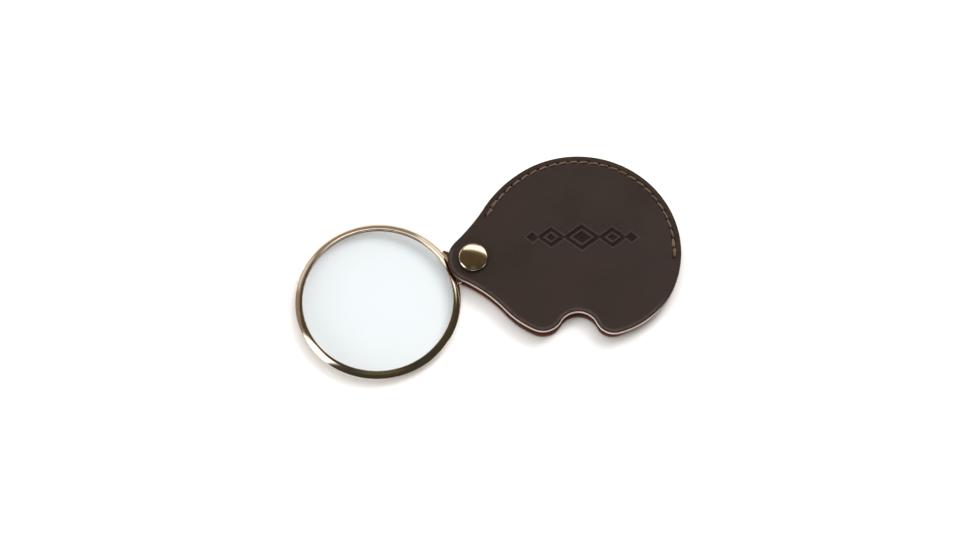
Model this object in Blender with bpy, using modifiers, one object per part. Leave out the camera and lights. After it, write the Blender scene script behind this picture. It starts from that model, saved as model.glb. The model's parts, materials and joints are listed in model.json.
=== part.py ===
"""Folding pocket magnifier: a round lens in a brass rim that swings out of a sewn leather case on a rivet.

The object lies on its back panel, with Z up. X runs along its length, the lens to the left of the case and
the case's mouth towards -Y. The origin is under the middle of the whole object, on the surface it lies on.
Plan positions are worked out from the pivot, and moved by PIVOT at the end.
"""

import math

import bmesh
import bpy
import numpy as np

MM = 0.001

# ---------------------------------------------------------------- driving dimensions
# Lens and rim
APERTURE_R = 25.0 * MM              # clear radius: a 50 mm reading lens
RIM_OUTER_R = 27.46 * MM
RIM_HEIGHT = 2.8 * MM
RIM_SHEET = 0.5 * MM                # the rim is a rolled channel of this thickness
RIM_FACE_R = 3.38 * MM              # curve of the rim's sloping faces, seen in section
RIM_FACE_TILTS = (8.0, 50.0)        # their tilt at the lip and at the nose, in degrees
RIM_NOSE_R = 0.35 * MM              # rounding where the two faces meet
LENS_R = 26.2 * MM
LENS_CENTRE_THICKNESS = 2.8 * MM
LENS_EDGE_THICKNESS = 0.9 * MM

# Case
LEATHER = 1.6 * MM                  # thickness of each panel
POCKET = 3.2 * MM                   # gap between the panels, the welt's thickness
WELT_WIDTH = 5.0 * MM
SEAM_INSET = 2.4 * MM               # stitch line, in from the edge
LAYER_GAP = 0.1 * MM                # between leather layers that touch
THREAD_R = 0.3 * MM
GROOVE_R = 0.75 * MM                # stitching groove, cut into the outer faces

# Pivot
SWING_RADIUS = 34.6 * MM            # rivet to lens centre
REST_ANGLE = math.radians(204.0)    # direction from the rivet to the lens centre, counted from +X
CAP_R = 4.9 * MM
POST_R = 1.7 * MM
LUG_THICKNESS = 1.2 * MM
LUG_EYE_R = 4.2 * MM
LUG_HALF_WIDTHS = (7.3 * MM, 5.3 * MM)  # reach of the saddle along the rim, away from the mouth and towards it
WASHER_THICKNESS = 0.6 * MM
RUNNING_GAP = 0.3 * MM

# The case's outline, counterclockwise, as circles that touch their neighbours:
# name, centre X and Y from the pivot, radius, and 1 where it bulges out or -1 where it is hollow (all mm).
OUTLINE = (
    ("lobe", 35.05, 3.09, 34.23, 1),
    ("shoulder", 38.78, -2.85, 41.24, 1),
    ("upper_flare", -53.89, 52.68, 66.79, -1),
    ("neck", 0.00, 0.00, 8.57, 1),
    ("lower_flare", -22.46, -48.09, 44.51, -1),
    ("lower_left", 32.80, 2.17, 30.19, 1),
    ("left_lip", 23.00, -19.05, 6.82, 1),
    ("finger_notch", 34.72, -25.58, 6.60, -1),
    ("right_lip", 46.50, -20.22, 6.34, 1),
    ("lower_right", 40.50, 1.01, 28.40, 1),
)
OUTLINE_STEP = 1.5 * MM             # longest chord along an arc
BACK_TRIM = 1.2 * MM                # how far the back panel stops short of the front one, at most
BACK_TRIM_SPAN = (-86.0, -50.0, -26.0, -8.0)  # bearings where the trim starts, is full, starts to fade and ends
LOBE_CENTRE = np.array(OUTLINE[0][1:3]) * MM
SEAM_SPAN = (-5.0, 158.5)           # degrees about the lobe's centre, from the tip to the neck
WELT_SPAN = (-9.0, 160.5)

# ---------------------------------------------------------------- heights and places
BACK_TOP = LEATHER
FRONT_LOW = LEATHER + POCKET
FRONT_TOP = FRONT_LOW + LEATHER
MIDDLE = LEATHER + POCKET / 2
RING_CENTRE = SWING_RADIUS * np.array((math.cos(REST_ANGLE), math.sin(REST_ANGLE)))
LOBE_R = OUTLINE[0][3] * MM
HIGH_CORNER = LOBE_CENTRE + LOBE_R
LOW_CORNER = RING_CENTRE - RIM_OUTER_R
PIVOT = -(HIGH_CORNER + LOW_CORNER) / 2
TURNED_STEPS = 72


# ---------------------------------------------------------------- scene and helpers
def clear_scene():
    for obj in list(bpy.data.objects):
        bpy.data.objects.remove(obj, do_unlink=True)


def new_collection(name):
    collection = bpy.data.collections.new(name)
    bpy.context.scene.collection.children.link(collection)
    return collection


def material(name, colour, roughness, metallic=0.0, transmission=0.0):
    made = bpy.data.materials.new(name)
    made.use_nodes = True
    shader = made.node_tree.nodes["Principled BSDF"]
    shader.inputs["Base Color"].default_value = (*colour, 1.0)
    shader.inputs["Roughness"].default_value = roughness
    shader.inputs["Metallic"].default_value = metallic
    shader.inputs["Transmission Weight"].default_value = transmission
    return made


def add_object(name, data, collection, surface=None):
    obj = bpy.data.objects.new(name, data)
    collection.objects.link(obj)
    obj.location = (PIVOT[0], PIVOT[1], 0.0)
    if surface:
        obj.data.materials.append(surface)
    return obj


def solid_from(obj):
    """Turns a curve or a mesh with modifiers into a plain mesh object with its seams welded."""
    depsgraph = bpy.context.evaluated_depsgraph_get()
    mesh = bpy.data.meshes.new_from_object(obj.evaluated_get(depsgraph))
    working = bmesh.new()
    working.from_mesh(mesh)
    bmesh.ops.remove_doubles(working, verts=working.verts, dist=0.002 * MM)
    bmesh.ops.recalc_face_normals(working, faces=working.faces)
    working.to_mesh(mesh)
    working.free()
    mesh.shade_smooth()
    mesh.set_sharp_from_angle(angle=math.radians(35))
    made = bpy.data.objects.new(obj.name + "_solid", mesh)
    made.matrix_world = obj.matrix_world
    for collection in obj.users_collection:
        collection.objects.link(made)
    name = obj.name
    bpy.data.objects.remove(obj, do_unlink=True)
    made.name = name
    return made


def mark_cutter(obj):
    obj.hide_render = True
    obj.display_type = "WIRE"
    return obj


def cut(obj, cutter):
    boolean = obj.modifiers.new("cut_" + cutter.name, "BOOLEAN")
    boolean.operation = "DIFFERENCE"
    boolean.solver = "EXACT"
    boolean.object = cutter


# ---------------------------------------------------------------- outlines
def junction(here, there):
    """Angles, on two touching circles, of the point where they touch."""
    step = math.atan2(there[2] - here[2], there[1] - here[1])
    if here[4] != there[4]:
        return step, step + math.pi
    if here[3] > there[3]:
        return step, step
    return step + math.pi, step + math.pi


def case_outline(inset=0.0):
    """The case's outline, moved inwards by inset, as points from the pivot."""
    points = []
    count = len(OUTLINE)
    for index, circle in enumerate(OUTLINE):
        start = junction(OUTLINE[index - 1], circle)[1]
        end = junction(circle, OUTLINE[(index + 1) % count])[0]
        bulge = circle[4]
        sweep = ((end - start) * bulge) % (2 * math.pi) * bulge
        steps = max(2, math.ceil(abs(sweep) * circle[3] * MM / OUTLINE_STEP))
        radius = circle[3] * MM - bulge * inset
        centre = np.array(circle[1:3]) * MM
        for angle in np.linspace(start, start + sweep, steps, endpoint=False):
            points.append(centre + radius * np.array((math.cos(angle), math.sin(angle))))
    return np.array(points)


def bearings(points):
    """Directions of points from the lobe's centre, in degrees."""
    offsets = points - LOBE_CENTRE
    return np.degrees(np.arctan2(offsets[:, 1], offsets[:, 0]))


def back_outline():
    """The back panel's outline: the case's, trimmed so that the front panel overhangs it at the mouth's right."""
    full = case_outline()
    share = np.interp(bearings(full), BACK_TRIM_SPAN, (0.0, 1.0, 1.0, 0.0))[:, None]
    share = share * share * (3.0 - 2.0 * share)
    return full * (1.0 - share) + case_outline(BACK_TRIM) * share


def edge_run(inset, span):
    """The stretch of the inset outline that lies within span, in degrees about the lobe's centre."""
    points = case_outline(inset)
    bearing = bearings(points)
    order = np.argsort(bearing)
    steps = math.ceil(math.radians(span[1] - span[0]) * LOBE_R / OUTLINE_STEP)
    wanted = np.linspace(span[0], span[1], steps)
    return np.column_stack([np.interp(wanted, bearing[order], points[order, axis]) for axis in (0, 1)])


def circle_points(centre, radius, start, end, steps):
    angles = np.linspace(start, end, steps)
    return np.column_stack([centre[0] + radius * np.cos(angles), centre[1] + radius * np.sin(angles)])


# ---------------------------------------------------------------- ways of making a solid
def plate(name, points, low, thickness, collection, surface, edge=0.0):
    """A flat piece with the given outline, from low upwards, with its corners broken by edge."""
    curve = bpy.data.curves.new(name, "CURVE")
    curve.dimensions = "2D"
    curve.fill_mode = "BOTH"
    curve.extrude = thickness / 2
    spline = curve.splines.new("POLY")
    spline.points.add(len(points) - 1)
    for point, (x, y) in zip(spline.points, points):
        point.co = (x, y, 0.0, 1.0)
    spline.use_cyclic_u = True
    obj = add_object(name, curve, collection, surface)
    obj.location.z = low + thickness / 2
    bpy.context.view_layer.update()
    obj = solid_from(obj)
    if edge:
        bevel = obj.modifiers.new("edge", "BEVEL")
        bevel.width = edge
        bevel.segments = 2
        bevel.limit_method = "ANGLE"
        bevel.angle_limit = math.radians(60)
        obj = solid_from(obj)
    return obj


def turned(name, profile, collection, surface, centre=(0.0, 0.0), steps=TURNED_STEPS):
    """A solid of revolution about Z: profile is (radius, height) in mm, down its outer side and closed."""
    mesh = bpy.data.meshes.new(name)
    on_axis = profile[0][0] == 0.0
    count = len(profile)
    edges = [(index, (index + 1) % count) for index in range(count - (1 if on_axis else 0))]
    mesh.from_pydata([(radius * MM, 0.0, height * MM) for radius, height in profile], edges, [])
    obj = add_object(name, mesh, collection, surface)
    obj.location.x += centre[0]
    obj.location.y += centre[1]
    screw = obj.modifiers.new("turn", "SCREW")
    screw.steps = steps
    screw.render_steps = steps
    screw.use_merge_vertices = True
    screw.merge_threshold = 0.01 * MM
    bpy.context.view_layer.update()
    return solid_from(obj)


def tube(name, points, height, radius, collection, surface=None, resolution=2):
    """A round tube along points at one height, with closed ends."""
    curve = bpy.data.curves.new(name, "CURVE")
    curve.dimensions = "3D"
    curve.bevel_depth = radius
    curve.bevel_resolution = resolution
    curve.use_fill_caps = True
    spline = curve.splines.new("POLY")
    spline.points.add(len(points) - 1)
    for point, (x, y) in zip(spline.points, points):
        point.co = (x, y, height, 1.0)
    obj = add_object(name, curve, collection, surface)
    bpy.context.view_layer.update()
    return solid_from(obj)


def disc_cutter(name, radius, low, high, collection):
    profile = ((0.0, high / MM), (radius / MM, high / MM), (radius / MM, low / MM), (0.0, low / MM))
    return mark_cutter(turned(name, profile, collection, None, steps=32))


# ---------------------------------------------------------------- the case
def build_panels(parts, cutters, leather):
    seam = edge_run(SEAM_INSET, SEAM_SPAN)
    back = plate("back_panel", back_outline(), 0.0, LEATHER, parts, leather)
    cut(back, disc_cutter("back_rivet_hole", 2.05 * MM, -1.0 * MM, 3.0 * MM, cutters))
    cut(back, disc_cutter("back_cap_recess", CAP_R, -1.0 * MM, 1.15 * MM, cutters))
    cut(back, mark_cutter(tube("back_groove", seam, 0.0, GROOVE_R, cutters)))
    front = plate("front_panel", case_outline(), FRONT_LOW, LEATHER, parts, leather, edge=0.4 * MM)
    cut(front, disc_cutter("front_rivet_hole", 2.5 * MM, FRONT_LOW - 1.0 * MM, FRONT_TOP + 1.0 * MM, cutters))
    cut(front, mark_cutter(tube("front_groove", seam, FRONT_TOP, GROOVE_R, cutters)))


def build_welt(parts, leather):
    """The spacer strip sewn in between the panels along the closed edge."""
    outer = edge_run(0.3 * MM, WELT_SPAN)
    inner = edge_run(0.3 * MM + WELT_WIDTH, WELT_SPAN)
    outline = np.vstack([outer, inner[::-1]])
    plate("welt", outline, BACK_TOP + LAYER_GAP, POCKET - 2 * LAYER_GAP, parts, leather)


def build_threads(parts, cord):
    """The needle thread on the front and the bobbin thread on the back, each lying in its groove."""
    seam = edge_run(SEAM_INSET, (SEAM_SPAN[0] + 0.7, SEAM_SPAN[1] - 0.7))
    depth = THREAD_R + 0.02 * MM
    tube("front_thread", seam, FRONT_TOP - depth, THREAD_R, parts, cord, resolution=1)
    tube("back_thread", seam, depth, THREAD_R, parts, cord, resolution=1)


# ---------------------------------------------------------------- the rivet
def build_rivet(parts, brass):
    """A two-cap rivet: pressed caps rolled over a flanged post and its socket. Heights in mm."""
    top = FRONT_TOP / MM + 0.05
    cap = CAP_R / MM
    sheet = 0.35
    front_cap = [(0.0, top + 1.85), (1.2, top + 1.81), (2.4, top + 1.68), (3.3, top + 1.49), (4.0, top + 1.22)]
    front_cap += [(4.5, top + 0.88), (4.8, top + 0.5), (cap, top + 0.22), (cap - 0.1, top + 0.05)]
    front_cap += [(cap - 0.3, top), (3.85, top), (3.85, top + 0.25), (4.5, top + 0.3), (4.46, top + 0.45)]
    front_cap += [(4.2, top + 0.72), (3.8, top + 0.97), (3.2, top + 1.17), (2.3, top + 1.34)]
    front_cap += [(1.15, top + 1.85 - sheet - 0.04), (0.0, top + 1.85 - sheet)]
    turned("rivet_front_cap", front_cap, parts, brass, steps=48)

    bore = POST_R / MM + 0.15
    socket = [(4.12, top + 0.65), (4.12, top + 0.4), (2.2, top + 0.4), (2.2, top - 1.25)]
    socket += [(bore, top - 1.25), (bore, top + 0.65)]
    turned("rivet_socket", socket, parts, brass, steps=32)

    post_r = POST_R / MM
    post = [(post_r, top + 1.0), (post_r, 0.7), (3.95, 0.7), (3.95, 0.45), (1.2, 0.45), (1.2, top + 1.0)]
    turned("rivet_post", post, parts, brass, steps=32)

    back_cap = [(0.0, 0.38), (4.1, 0.38), (4.2, 0.5), (4.2, 0.75), (3.7, 0.8), (3.7, 1.05), (4.4, 1.05)]
    back_cap += [(4.6, 0.9), (4.6, 0.35), (4.35, 0.1), (0.0, 0.1)]
    turned("rivet_back_cap", back_cap, parts, brass, steps=48)


def build_washers(parts, brass):
    """Two washers that keep the lug in the middle of the pocket's gap."""
    lug_low = MIDDLE - LUG_THICKNESS / 2
    for name, low in (
        ("back_washer", lug_low - RUNNING_GAP - WASHER_THICKNESS),
        ("front_washer", lug_low + LUG_THICKNESS + RUNNING_GAP),
    ):
        high = (low + WASHER_THICKNESS) / MM
        inner = (POST_R + RUNNING_GAP) / MM
        profile = ((4.4, high), (4.4, low / MM), (inner, low / MM), (inner, high))
        turned(name, profile, parts, brass, steps=32)


# ---------------------------------------------------------------- the lens, its rim and its lug
def arc(corner, radius, start, end, steps):
    """Points of a convex arc that leaves corner with its face tilted by start, down to end, in degrees."""
    tilts = np.radians(np.linspace(start, end, steps))
    sine, cosine = np.sin(tilts), np.cos(tilts)
    return [(corner[0] + radius * (s - sine[0]), corner[1] + radius * (c - cosine[0])) for s, c in zip(sine, cosine)]


def build_rim(parts, gold):
    """A rolled channel of D section: two long sloping faces that meet in a rounded edge, and lips round the lens."""
    lip = APERTURE_R / MM
    height = RIM_HEIGHT / MM / 2
    sheet = RIM_SHEET / MM
    face = arc((lip + 0.26, height), RIM_FACE_R / MM, RIM_FACE_TILTS[0], RIM_FACE_TILTS[1], 7)
    nose = arc(face[-1], RIM_NOSE_R / MM, RIM_FACE_TILTS[1], 90.0, 4)
    upper = [(lip, 0.72), (lip, 1.15), *face, *nose[1:-1]]
    inside = arc((lip + 0.19, height - sheet), (RIM_FACE_R - RIM_SHEET) / MM, RIM_FACE_TILTS[0], 46.0, 5)
    widest = [(RIM_OUTER_R / MM, 0.0)]
    inner = [(RIM_OUTER_R / MM - sheet, 0.0)]
    outer = upper + widest + [(radius, -z) for radius, z in reversed(upper)]
    hollow = [(radius, -z) for radius, z in inside] + inner + list(reversed(inside))
    middle = MIDDLE / MM
    profile = [(radius, z + middle) for radius, z in outer + hollow]
    turned("lens_rim", profile, parts, gold, RING_CENTRE)


def build_lens(parts, glass):
    """Two equal spherical faces and a ground edge."""
    radius = LENS_R / MM
    sag = (LENS_CENTRE_THICKNESS - LENS_EDGE_THICKNESS) / 2 / MM
    sphere = (radius**2 + sag**2) / (2 * sag)
    crown = LENS_CENTRE_THICKNESS / 2 / MM
    steps = np.linspace(0.0, radius, 8)
    upper = [(r, crown - sphere + math.sqrt(sphere**2 - r**2)) for r in steps]
    profile = upper + [(r, -height) for r, height in reversed(upper)]
    middle = MIDDLE / MM
    profile = [(r, height + middle) for r, height in profile]
    turned("lens", profile, parts, glass, RING_CENTRE)


def build_lug(parts, cutters, gold):
    """The flat lug: an eye round the post, and a saddle that is brazed along the rim's outer face."""
    saddle_r = RIM_OUTER_R + LAYER_GAP
    end_thickness = 1.2 * MM
    ring = (SWING_RADIUS, 0.0)
    eye = circle_points((0.0, 0.0), LUG_EYE_R, math.radians(60), math.radians(300), 25)
    ends = [math.asin(width / saddle_r) for width in LUG_HALF_WIDTHS]
    saddle = circle_points(ring, saddle_r, math.pi + ends[0], math.pi - ends[1], 15)
    flanks = []
    for root, foot, width in ((eye[-1], saddle[0], LUG_HALF_WIDTHS[0]), (eye[0], saddle[-1], LUG_HALF_WIDTHS[1])):
        side = math.copysign(1.0, foot[1])
        foot_x = foot[0] - end_thickness
        flank = []
        for share in np.linspace(0.15, 1.0, 7):
            reach = abs(root[1]) + (width - abs(root[1])) * share**2.2
            flank.append((root[0] + (foot_x - root[0]) * share, side * reach))
        flanks.append(np.array(flank))
    outline = np.vstack([eye, flanks[0], saddle, flanks[1][::-1]])
    turn = np.array(((math.cos(REST_ANGLE), math.sin(REST_ANGLE)), (-math.sin(REST_ANGLE), math.cos(REST_ANGLE))))
    lug = plate("pivot_lug", outline @ turn, MIDDLE - LUG_THICKNESS / 2, LUG_THICKNESS, parts, gold)
    eye_r = POST_R + RUNNING_GAP
    cut(lug, disc_cutter("lug_eye", eye_r, MIDDLE - LUG_THICKNESS, MIDDLE + LUG_THICKNESS, cutters))


# ---------------------------------------------------------------- assembly
def build():
    clear_scene()
    parts = new_collection("folding_magnifier")
    cutters = new_collection("cutters")
    leather = material("dark_brown_leather", (0.045, 0.032, 0.027), 0.45)
    cord = material("brown_thread", (0.14, 0.075, 0.045), 0.8)
    brass = material("antique_brass", (0.62, 0.49, 0.27), 0.22, metallic=1.0)
    gold = material("pale_gold_plate", (0.78, 0.68, 0.54), 0.18, metallic=1.0)
    glass = material("clear_glass", (0.95, 0.98, 1.0), 0.02, transmission=1.0)
    build_panels(parts, cutters, leather)
    build_welt(parts, leather)
    build_threads(parts, cord)
    build_rivet(parts, brass)
    build_washers(parts, brass)
    build_rim(parts, gold)
    build_lug(parts, cutters, gold)
    build_lens(parts, glass)


build()
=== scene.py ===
"""Looks of a folding pocket magnifier: a lens in a gilt rim that swings out of a leather case on a rivet."""
import json
import math

import bmesh
import bpy
import numpy as np
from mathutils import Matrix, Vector
from mathutils.geometry import delaunay_2d_cdt


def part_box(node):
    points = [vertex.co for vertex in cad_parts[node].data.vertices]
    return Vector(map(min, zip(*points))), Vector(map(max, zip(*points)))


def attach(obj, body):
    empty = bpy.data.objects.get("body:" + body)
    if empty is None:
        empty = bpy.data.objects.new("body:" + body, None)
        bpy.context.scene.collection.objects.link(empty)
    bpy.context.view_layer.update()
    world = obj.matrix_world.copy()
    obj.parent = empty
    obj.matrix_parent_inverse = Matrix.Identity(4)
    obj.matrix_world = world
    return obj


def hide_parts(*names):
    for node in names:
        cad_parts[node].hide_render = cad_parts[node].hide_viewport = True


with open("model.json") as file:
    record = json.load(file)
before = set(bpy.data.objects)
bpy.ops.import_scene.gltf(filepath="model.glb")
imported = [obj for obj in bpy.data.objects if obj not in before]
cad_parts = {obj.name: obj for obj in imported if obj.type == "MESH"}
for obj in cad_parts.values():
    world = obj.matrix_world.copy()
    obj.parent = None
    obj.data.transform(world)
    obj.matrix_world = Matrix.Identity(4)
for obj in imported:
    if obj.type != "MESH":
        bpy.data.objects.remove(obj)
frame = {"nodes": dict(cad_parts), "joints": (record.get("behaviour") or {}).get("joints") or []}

MM = 0.001
TURN = 2 * math.pi
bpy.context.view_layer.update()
RANDOM_SEED = 7
CREASE_ANGLE = math.radians(50)

# ---------------------------------------------------------------- places, from the frame
PIVOT = np.array(frame["joints"][0]["pos_m"][:2])
MIDDLE = frame["joints"][0]["pos_m"][2]
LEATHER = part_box("back_panel")[1].z
FRONT_LOW, FRONT_TOP = (corner.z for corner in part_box("front_panel"))
RIM_LOW, RIM_HIGH = (np.array(corner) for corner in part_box("lens_rim"))
RING_CENTRE = (RIM_LOW[:2] + RIM_HIGH[:2]) / 2 - PIVOT
RIM_OUTER_R = (RIM_HIGH[0] - RIM_LOW[0]) / 2
RIM_HALF = (RIM_HIGH[2] - RIM_LOW[2]) / 2
LENS_LOW, LENS_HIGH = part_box("lens")
LENS_R = (LENS_HIGH.x - LENS_LOW.x) / 2
LENS_HALF = (LENS_HIGH.z - LENS_LOW.z) / 2
APERTURE_R = 25.0 * MM

# The case's outline, as in the CAD: touching circles, counterclockwise from the pivot
# (centre X and Y, radius in mm, 1 where it bulges and -1 where it is hollow).
OUTLINE = (
    (35.05, 3.09, 34.23, 1),
    (38.78, -2.85, 41.24, 1),
    (-53.89, 52.68, 66.79, -1),
    (0.00, 0.00, 8.57, 1),
    (-22.46, -48.09, 44.51, -1),
    (32.80, 2.17, 30.19, 1),
    (23.00, -19.05, 6.82, 1),
    (34.72, -25.58, 6.60, -1),
    (46.50, -20.22, 6.34, 1),
    (40.50, 1.01, 28.40, 1),
)
OUTLINE_STEP = 0.55 * MM
LOBE_CENTRE = np.array(OUTLINE[0][:2]) * MM

# Stretches of the edge are given by their bearings from the lobe's centre, in degrees.
SEAM_INSET = 2.4 * MM
SEAM_SPAN = (-5.0, 158.5)
STITCHES = 26
WELT_SPAN = (-9.0, 160.5)
WELT_INSET = 0.3 * MM
WELT_WIDTH = 5.0 * MM
BACK_TRIM = 1.2 * MM
BACK_TRIM_SPAN = (-86.0, -50.0, -26.0, -8.0)


# ---------------------------------------------------------------- outline geometry
def smooth(value, low, high):
    """0 up to low and 1 from high on, with an S-curve in between."""
    share = np.clip((value - low) / (high - low), 0.0, 1.0)
    return share * share * (3.0 - 2.0 * share)


def ridge(gap, width, power=2):
    """1 where gap is 0, fading away over about width. A higher power gives a flatter top and steeper sides."""
    return np.exp(-((gap / width) ** power))


def junction(here, there):
    """Angles, on two touching circles, of the point where they touch."""
    step = math.atan2(there[1] - here[1], there[0] - here[0])
    if here[3] != there[3]:
        return step, step + math.pi
    if here[2] > there[2]:
        return step, step
    return step + math.pi, step + math.pi


def case_outline(inset=0.0):
    """The case's outline moved inwards by inset, always with the same number of points."""
    points = []
    count = len(OUTLINE)
    for index, circle in enumerate(OUTLINE):
        start = junction(OUTLINE[index - 1], circle)[1]
        end = junction(circle, OUTLINE[(index + 1) % count])[0]
        bulge = circle[3]
        sweep = ((end - start) * bulge) % TURN * bulge
        steps = max(2, math.ceil(abs(sweep) * circle[2] * MM / OUTLINE_STEP))
        radius = circle[2] * MM - bulge * inset
        centre = np.array(circle[:2]) * MM
        for angle in np.linspace(start, start + sweep, steps, endpoint=False):
            points.append(centre + radius * np.array((math.cos(angle), math.sin(angle))))
    return np.array(points)


def bearings(points):
    """Directions of points from the lobe's centre, in degrees."""
    offsets = points - LOBE_CENTRE
    return np.degrees(np.arctan2(offsets[:, 1], offsets[:, 0]))


def back_outline(inset=0.0):
    """The back panel's outline, trimmed so that the front panel overhangs it at the mouth's right."""
    share = np.interp(bearings(case_outline()), BACK_TRIM_SPAN, (0.0, 1.0, 1.0, 0.0))[:, None]
    share = smooth(share, 0.0, 1.0)
    return case_outline(inset) * (1.0 - share) + case_outline(inset + BACK_TRIM) * share


def edge_run(inset, span, steps):
    """The stretch of the inset outline within span."""
    points = case_outline(inset)
    bearing = bearings(points)
    order = np.argsort(bearing)
    wanted = np.linspace(span[0], span[1], steps)
    return np.column_stack([np.interp(wanted, bearing[order], points[order, axis]) for axis in (0, 1)])


def even_run(points, count):
    """count points at equal distances along a polyline."""
    lengths = np.concatenate([[0.0], np.cumsum(np.hypot(*np.diff(points, axis=0).T))])
    wanted = np.linspace(0.0, lengths[-1], count)
    return np.column_stack([np.interp(wanted, lengths, points[:, axis]) for axis in (0, 1)])


def distance_to_line(points, line, closed):
    """Distance from each point to a polyline."""
    starts, ends = line, np.roll(line, -1, axis=0)
    if not closed:
        starts, ends = line[:-1], line[1:]
    steps = ends - starts
    lengths = np.hypot(steps[:, 0], steps[:, 1])
    nearest = np.full(len(points), np.inf)
    for start, step, length in zip(starts, steps, lengths):
        share = np.clip(((points - start) @ step) / length**2, 0.0, 1.0)
        gap = np.hypot(*(points - start - share[:, None] * step).T)
        nearest = np.minimum(nearest, gap)
    return nearest


def inside(points, polygon):
    """Which points lie inside a closed polygon."""
    found = np.zeros(len(points), bool)
    x, y = points[:, 0], points[:, 1]
    for (ax, ay), (bx, by) in zip(polygon, np.roll(polygon, -1, axis=0)):
        crosses = (ay > y) != (by > y)
        if ay != by:
            found ^= crosses & (x < (bx - ax) * (y - ay) / (by - ay) + ax)
    return found


def around(steps):
    """Points of a unit circle."""
    angles = np.linspace(0.0, TURN, steps, endpoint=False)
    return np.column_stack([np.cos(angles), np.sin(angles)])


def across(step):
    """The unit vector to the left of a step in plan."""
    return np.array((-step[1], step[0])) / np.hypot(*step)


SEAM_LINE = edge_run(SEAM_INSET, SEAM_SPAN, 400)
SEAM_HOLES = even_run(SEAM_LINE, STITCHES + 1)


# ---------------------------------------------------------------- mesh building
def new_piece(name, verts, faces, materials, face_slots=None, attributes=None):
    """A smooth mesh object. attributes maps a name to one value for each vertex."""
    mesh = bpy.data.meshes.new(name)
    mesh.from_pydata([tuple(v) for v in verts], [], [tuple(f) for f in faces])
    for surface in materials:
        mesh.materials.append(surface)
    if face_slots is not None:
        mesh.polygons.foreach_set("material_index", np.asarray(face_slots, np.int32))
    for label, values in (attributes or {}).items():
        layer = mesh.attributes.new(label, "FLOAT", "POINT")
        layer.data.foreach_set("value", np.asarray(values, np.float32))
    mesh.update()
    mesh.shade_smooth()
    obj = bpy.data.objects.new(name, mesh)
    bpy.context.scene.collection.objects.link(obj)
    return obj


def at_pivot(xy, z):
    """Points in the row frame from plan positions counted from the pivot."""
    z = np.broadcast_to(np.asarray(z, float), (len(xy),))
    return np.column_stack([xy + PIVOT, z])


def turned(name, profile, materials, centre=(0.0, 0.0), steps=128):
    """A solid of revolution about Z. profile is (radius, height) in metres, down its outer side.

    It either starts and ends on the axis or is closed by joining its end to its start."""
    verts = []
    rings = []
    circle = around(steps)
    for radius, height in profile:
        ring = np.zeros((1, 2)) if radius == 0.0 else circle * radius
        rings.append(list(range(len(verts), len(verts) + len(ring))))
        verts += [(centre[0] + x, centre[1] + y, height) for x, y in ring]
    pairs = list(zip(rings, rings[1:]))
    if len(rings[0]) > 1:
        pairs.append((rings[-1], rings[0]))
    faces = []
    for upper, lower in pairs:
        for index in range(steps):
            after = (index + 1) % steps
            if len(upper) == 1:
                faces.append((upper[0], lower[index], lower[after]))
            elif len(lower) == 1:
                faces.append((upper[index], lower[0], upper[after]))
            else:
                faces.append((upper[index], lower[index], lower[after], upper[after]))
    verts = np.array(verts)
    obj = new_piece(name, at_pivot(verts[:, :2], verts[:, 2]), faces, materials)
    obj.data.set_sharp_from_angle(angle=CREASE_ANGLE)
    return obj


def side_and_top(path):
    """Unit vectors square to a 3-D path at each of its points: one level, one pointing up."""
    tangents = np.gradient(path, axis=0)
    tangents /= np.linalg.norm(tangents, axis=1)[:, None]
    side = np.cross(tangents, (0.0, 0.0, 1.0))
    side /= np.linalg.norm(side, axis=1)[:, None] + 1e-12
    return side, np.cross(side, tangents)


def swept(path, sides, radius):
    """Verts and faces of a round bar along 3-D points."""
    side, top = side_and_top(path)
    count = len(path)
    circle = around(sides)
    verts = []
    for place, level, upright in zip(path, side, top):
        ring = np.outer(circle[:, 0], level) + np.outer(circle[:, 1], upright)
        verts.extend(place + ring * radius)
    faces = []
    for index in range(count - 1):
        for corner in range(sides):
            a = index * sides + corner
            b = index * sides + (corner + 1) % sides
            faces.append((a, b, b + sides, a + sides))
    faces.append(tuple(reversed(range(sides))))
    faces.append(tuple(range((count - 1) * sides, count * sides)))
    return np.array(verts), faces


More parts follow.
